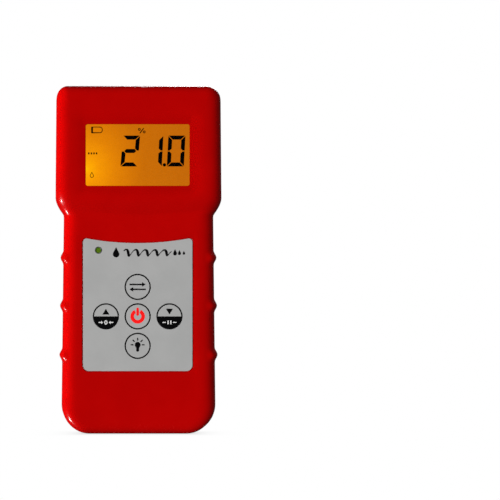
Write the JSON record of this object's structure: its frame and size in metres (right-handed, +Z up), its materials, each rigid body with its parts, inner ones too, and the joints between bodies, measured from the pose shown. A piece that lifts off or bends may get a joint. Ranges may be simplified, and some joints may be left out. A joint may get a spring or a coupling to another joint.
{
  "type": "moisture meter",
  "caption": "Handheld pinless moisture meter: red two-shell case with wide display head, finger ribs, amber LCD, round-key panel, rear sensor plate and hinged battery door.",
  "frame": {"origin": "centre of the bounding box's bottom face: the flat foot lies in Z = 0, and Y = 0 is the case's parting plane, midway between the display face and the sensor face", "axes": "+Z up along the meter's length from foot to display head, -Y out of the display and keypad, +Y out of the sensor plate, +X to the right for someone reading the display"},
  "size_m": [0.072, 0.031, 0.15],
  "materials": {
    "red_plastic": "satin",
    "black_plastic": "satin",
    "clear_lens": "polished",
    "overlay_film": "satin",
    "lcd_glass": "polished",
    "amber_guide": "gloss",
    "board_green": "satin",
    "chip_black": "matte",
    "tin": "satin",
    "steel": "satin",
    "copper": "satin",
    "green_led": "gloss",
    "trimmer_blue": "satin",
    "capacitor_sleeve": "satin",
    "zebra_rubber": "matte",
    "wire_red": "satin",
    "wire_black": "satin",
    "cell_jacket": "gloss"
  },
  "bodies": {
    "case": {"front_shell": "red_plastic", "rear_shell": "red_plastic", "sensor_plate": "black_plastic", "sensor_electrode": "copper", "lcd_window": "clear_lens", "lcd_glass": "lcd_glass", "lcd_frame": "black_plastic", "backlight_guide": "amber_guide", "zebra_strip_upper": "zebra_rubber", "zebra_strip_lower": "zebra_rubber", "keypad_overlay": "overlay_film", "switch_base_function": "chip_black", "switch_base_zero": "chip_black", "switch_base_power": "chip_black", "switch_base_hold": "chip_black", "switch_base_light": "chip_black", "indicator_led": "green_led", "main_board": "board_green", "microcontroller": "chip_black", "amplifier_chip": "chip_black", "crystal": "tin", "oscillator_coil": "chip_black", "reservoir_capacitor": "capacitor_sleeve", "trimmer": "trimmer_blue", "sensor_wire": "wire_black", "battery_wire_red": "wire_red", "battery_wire_black": "wire_black", "battery_cell_1": "cell_jacket", "battery_cell_2": "cell_jacket", "battery_cell_3": "cell_jacket", "battery_cell_4": "cell_jacket", "cell_spring_1": "steel", "cell_spring_2": "steel", "cell_spring_3": "steel", "cell_spring_4": "steel", "contact_positive": "tin", "contact_negative": "tin", "contact_bridge_upper": "tin", "contact_bridge_left": "tin", "contact_bridge_right": "tin", "case_screw_1": "steel", "case_screw_2": "steel", "case_screw_3": "steel", "case_screw_4": "steel", "board_screw_1": "steel", "board_screw_2": "steel", "board_screw_3": "steel", "board_screw_4": "steel"},
    "button_function": {"key_function": "overlay_film", "switch_stem_function": "black_plastic"},
    "button_zero": {"key_zero": "overlay_film", "switch_stem_zero": "black_plastic"},
    "button_power": {"key_power": "overlay_film", "switch_stem_power": "black_plastic"},
    "button_hold": {"key_hold": "overlay_film", "switch_stem_hold": "black_plastic"},
    "button_light": {"key_light": "overlay_film", "switch_stem_light": "black_plastic"},
    "door": {"battery_door": "red_plastic"}
  },
  "joints": [
    {"name": "press_function", "type": "slide", "parent": "case", "child": "button_function", "axis": [0, 1, 0], "range_m": [0, 0.0003], "stiffness_N_per_m": 5},
    {"name": "press_zero", "type": "slide", "parent": "case", "child": "button_zero", "axis": [0, 1, 0], "range_m": [0, 0.0003], "stiffness_N_per_m": 5},
    {"name": "press_power", "type": "slide", "parent": "case", "child": "button_power", "axis": [0, 1, 0], "range_m": [0, 0.0003], "stiffness_N_per_m": 5},
    {"name": "press_hold", "type": "slide", "parent": "case", "child": "button_hold", "axis": [0, 1, 0], "range_m": [0, 0.0003], "stiffness_N_per_m": 5},
    {"name": "press_light", "type": "slide", "parent": "case", "child": "button_light", "axis": [0, 1, 0], "range_m": [0, 0.0003], "stiffness_N_per_m": 5},
    {"name": "battery_door_hinge", "type": "hinge", "parent": "case", "child": "door", "pos_m": [0, 0.014, 0.01285], "axis": [-1, 0, 0], "range_deg": [0, 60]}
  ]
}
